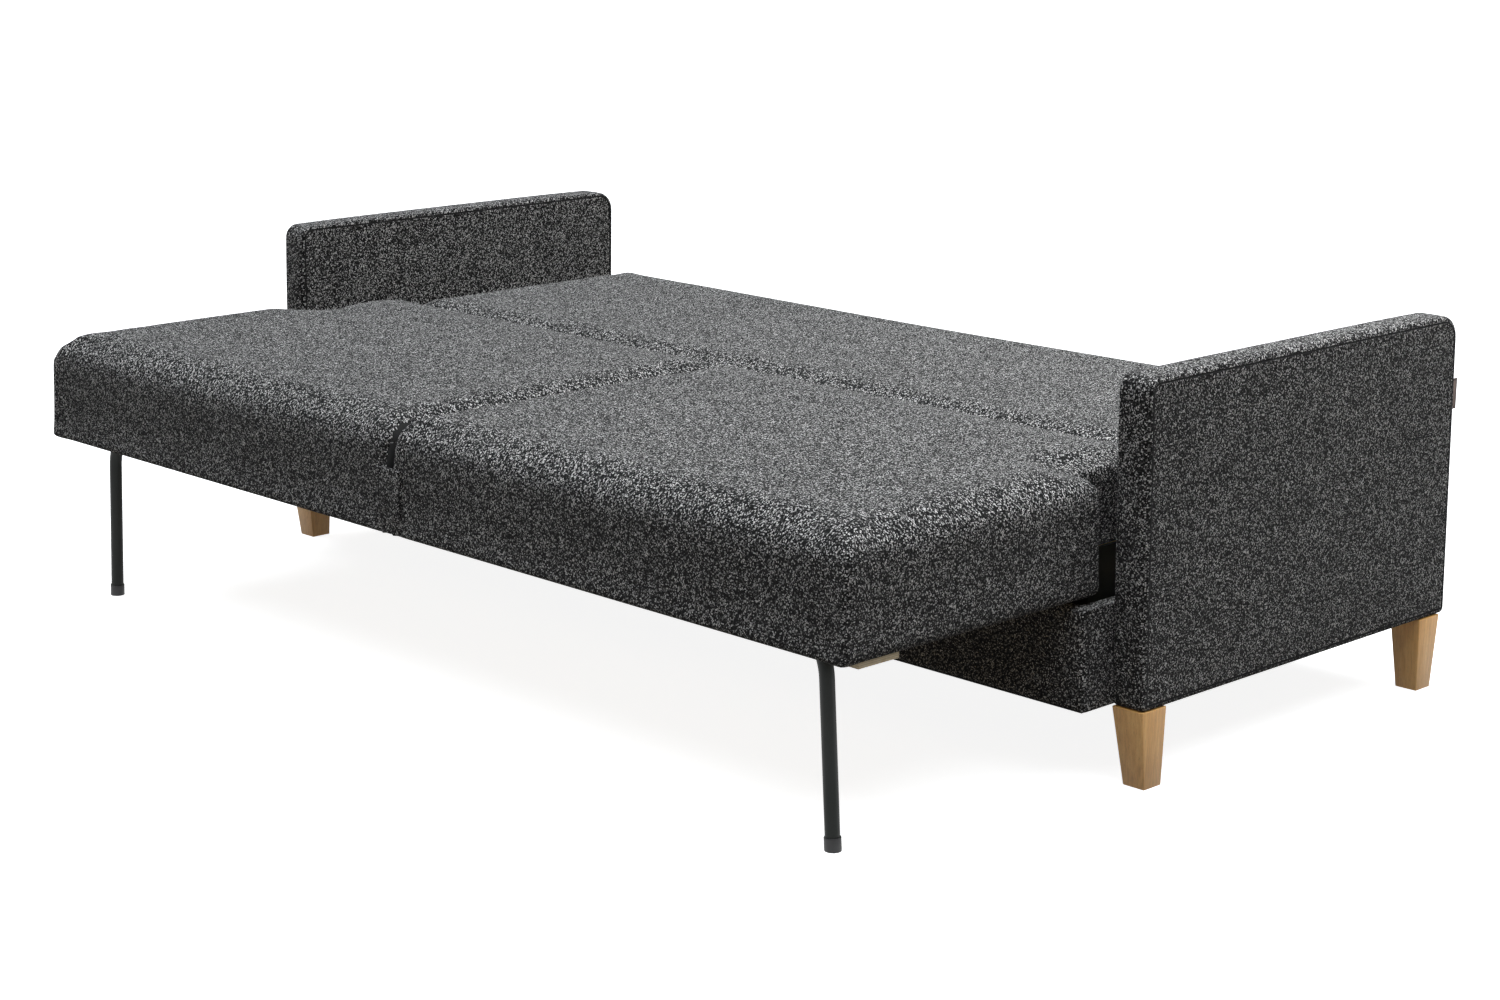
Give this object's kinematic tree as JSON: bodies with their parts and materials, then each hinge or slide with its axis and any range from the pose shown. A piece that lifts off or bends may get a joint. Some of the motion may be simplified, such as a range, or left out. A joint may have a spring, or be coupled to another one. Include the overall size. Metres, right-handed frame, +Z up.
{
  "type": "futon sofa bed",
  "caption": "Two-person sofa bed with low padded panel arms: the seat slides out on steel folding legs and the back folds down level with it.",
  "frame": {"origin": "on the floor, under the middle of the bounding box of the sofa bed in its bed position", "axes": "+X from the left arm to the right arm, +Y from the front edge of the bed to its rear edge, +Z up"},
  "size_m": [2.128, 1.3694, 0.62],
  "materials": {
    "tweed": "woven tweed, matt",
    "oak": "clear matt lacquer",
    "pine": "planed, bare",
    "birch": "sanded plywood",
    "black_steel": "satin powder coat",
    "zinc": "zinc plated",
    "nylon": "moulded",
    "black_cloth": "non-woven",
    "label_cloth": "woven ribbon"
  },
  "bodies": {
    "base": {"foot_front_left": "oak", "foot_bolt_front_left": "zinc", "foot_rear_left": "oak", "foot_bolt_rear_left": "zinc", "arm_cover_left": "tweed", "arm_core_left": "pine", "base_left_rail": "pine", "slide_channel_left": "zinc", "foot_front_right": "oak", "foot_bolt_front_right": "zinc", "foot_rear_right": "oak", "foot_bolt_rear_right": "zinc", "arm_cover_right": "tweed", "arm_core_right": "pine", "base_right_rail": "pine", "slide_channel_right": "zinc", "base_front_rail": "tweed", "base_rear_rail": "tweed", "base_centre_beam": "pine", "dust_cover": "black_cloth", "label_tag": "label_cloth"},
    "seat": {"seat_pad_left": "tweed", "seat_deck_left": "birch", "seat_border_left": "tweed", "seat_frame_left": "pine", "carriage_plate_left": "black_steel", "slide_shoe_left": "nylon", "pivot_pin_left": "zinc", "leg_block_left": "nylon", "seat_pad_right": "tweed", "seat_deck_right": "birch", "seat_border_right": "tweed", "seat_frame_right": "pine", "carriage_plate_right": "black_steel", "slide_shoe_right": "nylon", "pivot_pin_right": "zinc", "leg_block_right": "nylon", "seat_border_front": "tweed", "seat_frame_front": "pine", "seat_frame_rear": "pine", "seat_frame_centre": "pine", "leg_board": "birch"},
    "back": {"back_plate_left": "black_steel", "back_frame_left": "pine", "back_plate_right": "black_steel", "back_frame_right": "pine", "back_pad": "tweed", "back_frame_lower": "pine", "back_frame_upper": "pine", "back_deck": "birch", "back_lining": "black_cloth"},
    "leg_hoop": {"leg_left": "black_steel", "leg_cap_left": "nylon", "leg_right": "black_steel", "leg_cap_right": "nylon", "leg_crossbar": "black_steel"}
  },
  "joints": [
    {"name": "seat_slide", "type": "slide", "parent": "base", "child": "seat", "axis": [0, 1, 0], "range_m": [0, 0.4]},
    {"name": "back_fold", "type": "hinge", "parent": "seat", "child": "back", "pos_m": [0, 0.16485, 0.3821], "axis": [1, 0, 0], "range_deg": [0, 80]},
    {"name": "leg_fold", "type": "hinge", "parent": "seat", "child": "leg_hoop", "pos_m": [0, -0.61615, 0.33], "axis": [1, 0, 0], "range_deg": [0, 90]}
  ]
}
